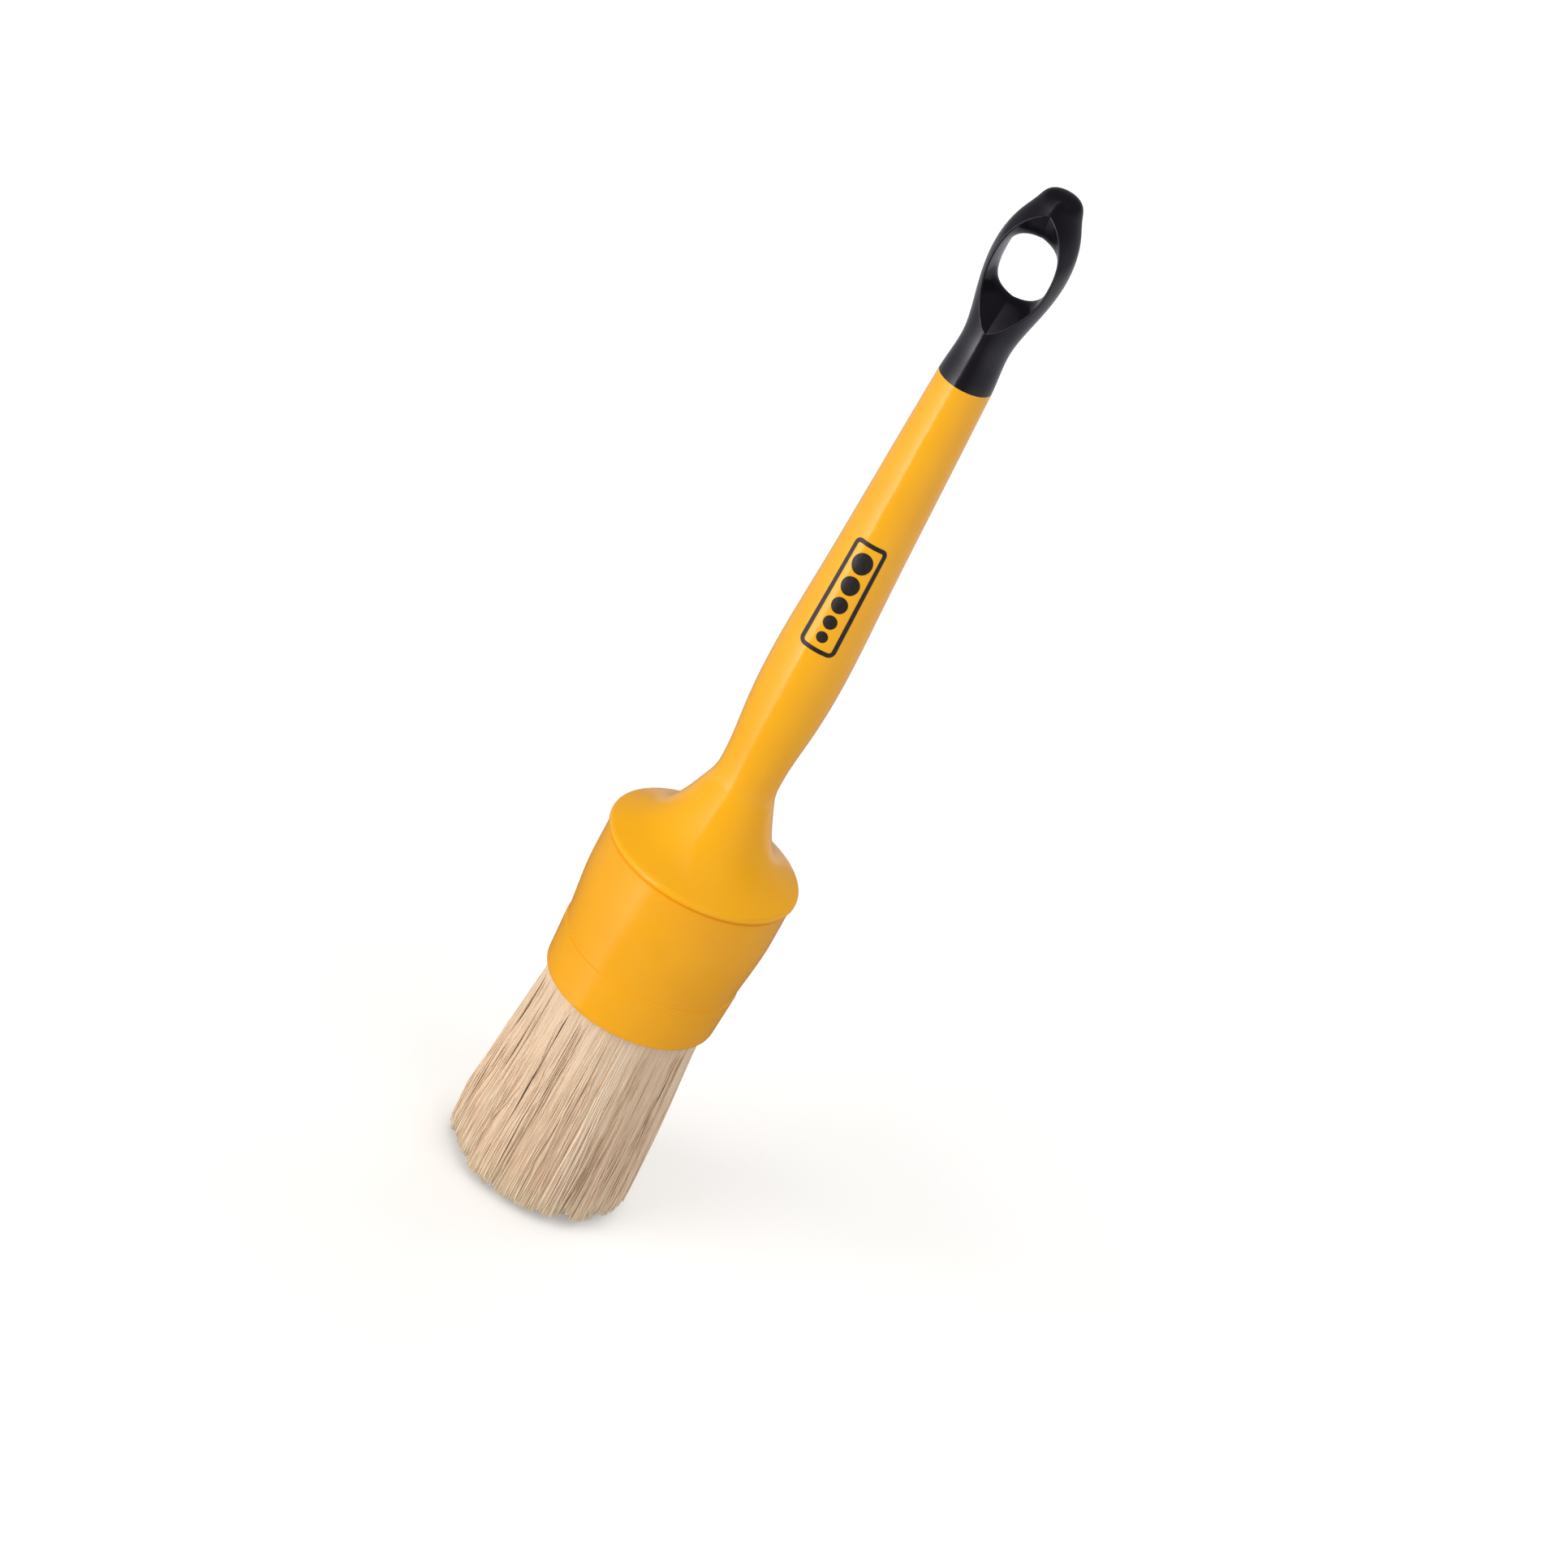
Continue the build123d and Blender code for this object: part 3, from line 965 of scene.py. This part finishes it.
def reflection_cards(facing):
    """The tent's own light: the cards round about, less at the brush's foot, the far walls and overhead."""
    made, tree = blank("Reflection cards")
    place = put(tree, "ShaderNodeTexCoord").outputs["Object"]
    # +X towards the camera and -Y to its left; the softbox's edge starts a little left of the brush
    turned = put(
        tree, "ShaderNodeMapping", Vector=place, Rotation=(0.0, 0.0, -facing), Location=(0.0, 30 * MM, 0.0)
    )
    round_about = put(
        tree, "ShaderNodeTexGradient", {"gradient_type": "RADIAL"}, Vector=turned.outputs["Vector"]
    )
    cards = ramp(
        put(tree, "ShaderNodeValToRGB", Fac=round_about.outputs["Fac"]),
        *((0.5 - left / 360, grey(level / CARD_LEVEL)) for left, level in CARDS),
    )
    far = put(tree, "ShaderNodeVectorMath", {"operation": "LENGTH"}, i0=place)
    reach = put(tree, "ShaderNodeMath", {"operation": "DIVIDE"}, i0=far.outputs["Value"], i1=TENT_RADIUS)
    fade = ramp(
        put(tree, "ShaderNodeValToRGB", Fac=reach.outputs[0]),
        (0.08, grey(0.2)),
        (0.3, grey(1.0)),
        (0.5, grey(1.0)),
        (0.95, grey(0.45)),
    )
    height = put(tree, "ShaderNodeSeparateXYZ", Vector=place)
    lower = put(
        tree,
        "ShaderNodeMapRange",
        i0=height.outputs["Z"],
        i1=0.3,
        i2=0.75,
        i3=CARD_LEVEL,
        i4=1.6,
    )
    shown = put(
        tree,
        "ShaderNodeMath",
        {"operation": "MULTIPLY"},
        i0=fade.outputs["Color"],
        i1=lower.outputs["Result"],
    )
    level = put(
        tree, "ShaderNodeMath", {"operation": "MULTIPLY"}, i0=cards.outputs["Color"], i1=shown.outputs[0]
    )
    light = put(tree, "ShaderNodeEmission", Color=linear("#FAF7FF"), Strength=level.outputs[0])
    put(tree, "ShaderNodeOutputMaterial", Surface=light.outputs[0])
    made.cycles.emission_sampling = "NONE"
    return made


def reflection_tent(facing):
    """What the gloss mirrors, round the brush and across the floor: half a sphere of cards and grey walls,
    turned to the camera. It gives no light, throws no shadow and isn't seen itself."""
    deselect()
    bpy.ops.mesh.primitive_uv_sphere_add(
        segments=72, ring_count=36, radius=TENT_RADIUS, location=(0, 0, TENT_LIFT)
    )
    bpy.ops.object.transform_apply(location=True, rotation=True, scale=True)
    tent = bpy.context.object
    tent.name = "reflection_tent"
    bpy.ops.object.mode_set(mode="EDIT")
    bpy.ops.mesh.select_all(action="SELECT")
    bpy.ops.mesh.bisect(plane_co=(0, 0, TENT_LIFT), plane_no=(0, 0, 1), use_fill=True, clear_inner=True)
    bpy.ops.object.mode_set(mode="OBJECT")
    tent.data.materials.append(reflection_cards(facing))
    tent.visible_camera = tent.visible_diffuse = tent.visible_transmission = False
    tent.visible_shadow = tent.visible_volume_scatter = False


def pale_world():
    """The world: white where it is seen or mirrored, a softer grey as light."""
    world = bpy.data.worlds.new("Pale studio")
    world.use_nodes = True
    tree = world.node_tree
    tree.nodes.clear()
    level = put(tree, "ShaderNodeMapRange", i0=seen_rays(tree), i1=0.0, i2=1.0, i3=0.4, i4=1.0)
    air = put(tree, "ShaderNodeBackground", Color=grey(1.0), Strength=level.outputs["Result"])
    put(tree, "ShaderNodeOutputWorld", Surface=air.outputs["Background"])
    bpy.context.scene.world = world


def studio_paper(colour):
    """Matt studio paper: its own colour as light, and a pale, slightly glowing one where it is seen, so
    that it reaches white outside the brush's shadow."""
    made, tree = blank("Studio paper, matt")
    paper = put(tree, "ShaderNodeBsdfDiffuse", Color=linear(colour))
    own = put(tree, "ShaderNodeEmission", Color=grey(1.0), Strength=0.24)
    dim = put(tree, "ShaderNodeBsdfDiffuse", Color=linear("#F5F5F5"))
    lit = put(tree, "ShaderNodeAddShader", i0=own.outputs[0], i1=dim.outputs[0])
    both = put(tree, "ShaderNodeMixShader", i0=seen_rays(tree), i1=paper.outputs[0], i2=lit.outputs[0])
    put(tree, "ShaderNodeOutputMaterial", Surface=both.outputs[0])
    return made


def stand_camera(stage):
    """Stands the camera at its azimuth and elevation, turned a little by the pan and then rolled."""
    a, e = stage.azimuth, stage.elevation
    look = Vector((-sin(a) * cos(e), cos(a) * cos(e), -sin(e)))
    up = Vector((-sin(a) * sin(e), cos(a) * sin(e), cos(e)))
    right = Vector((cos(a), sin(a), 0))
    place = Vector((0, 0, stage.aim)) - look * stage.distance
    ahead = look * cos(stage.pan) + right * sin(stage.pan)
    beside = right * cos(stage.pan) - look * sin(stage.pan)
    x = up * sin(stage.roll) + beside * cos(stage.roll)
    y = up * cos(stage.roll) - beside * sin(stage.roll)
    data = bpy.data.cameras.new("camera")
    data.lens, data.sensor_width = stage.lens, 36.0
    data.clip_start, data.clip_end = 0.05, 20.0
    camera = bpy.data.objects.new("camera", data)
    camera.matrix_world = Matrix.Translation(place) @ Matrix((x, y, -ahead)).transposed().to_4x4()
    bpy.context.scene.collection.objects.link(camera)
    bpy.context.scene.camera = camera


class BRUSH_OT_stage(bpy.types.Operator):
    """Lay the pale floor, set the soft lamps and stand the camera"""

    bl_idname = "brush.stage"
    bl_label = "Stage"

    def execute(self, context):
        stage = context.scene.brush.stage
        context.scene.view_settings.view_transform = "Standard"
        pale_world()
        deselect()
        bpy.ops.mesh.primitive_plane_add(size=6.0, location=(0, 0, 0))
        floor = bpy.context.object
        floor.name = "floor"
        floor.data.materials.append(studio_paper(stage.floor))
        # Level directions from the brush: to the camera, and to the camera's left
        front = Vector((sin(stage.azimuth), -cos(stage.azimuth), 0))
        left = Vector((-cos(stage.azimuth), -sin(stage.azimuth), 0))
        for name, (turn, *rest) in LAMPS.items():
            broad_lamp(name, front * cos(radians(turn)) + left * sin(radians(turn)), *rest)
        reflection_tent(atan2(front.y, front.x))
        stand_camera(stage)
        return {"FINISHED"}


class BRUSH_PT_panel(bpy.types.Panel):
    """The brush's pieces and stage"""

    bl_label = "Round brush"
    bl_idname = "BRUSH_PT_panel"
    bl_space_type = "VIEW_3D"
    bl_region_type = "UI"
    bl_category = "Brush"

    def draw(self, context):
        for operator in OPERATORS:
            self.layout.operator(operator.bl_idname)


OPERATORS = (
    BRUSH_OT_stage,
    BRUSH_OT_plastics,
    BRUSH_OT_grip_mark,
    BRUSH_OT_outer_tufts,
    BRUSH_OT_inner_tufts,
)
CLASSES = (BrushPlastics, BrushPrint, BrushBristle, BrushStage, BrushSettings, *OPERATORS, BRUSH_PT_panel)


def register():
    for made in CLASSES:
        bpy.utils.register_class(made)
    bpy.types.Scene.brush = bpy.props.PointerProperty(type=BrushSettings)


def unregister():
    del bpy.types.Scene.brush
    for made in reversed(CLASSES):
        bpy.utils.unregister_class(made)


def main():
    register()
    bpy.ops.brush.stage()
    bpy.ops.brush.plastics()
    bpy.ops.brush.grip_mark()
    bpy.ops.brush.outer_tufts()
    bpy.ops.brush.inner_tufts()


if __name__ == "__main__":
    main()
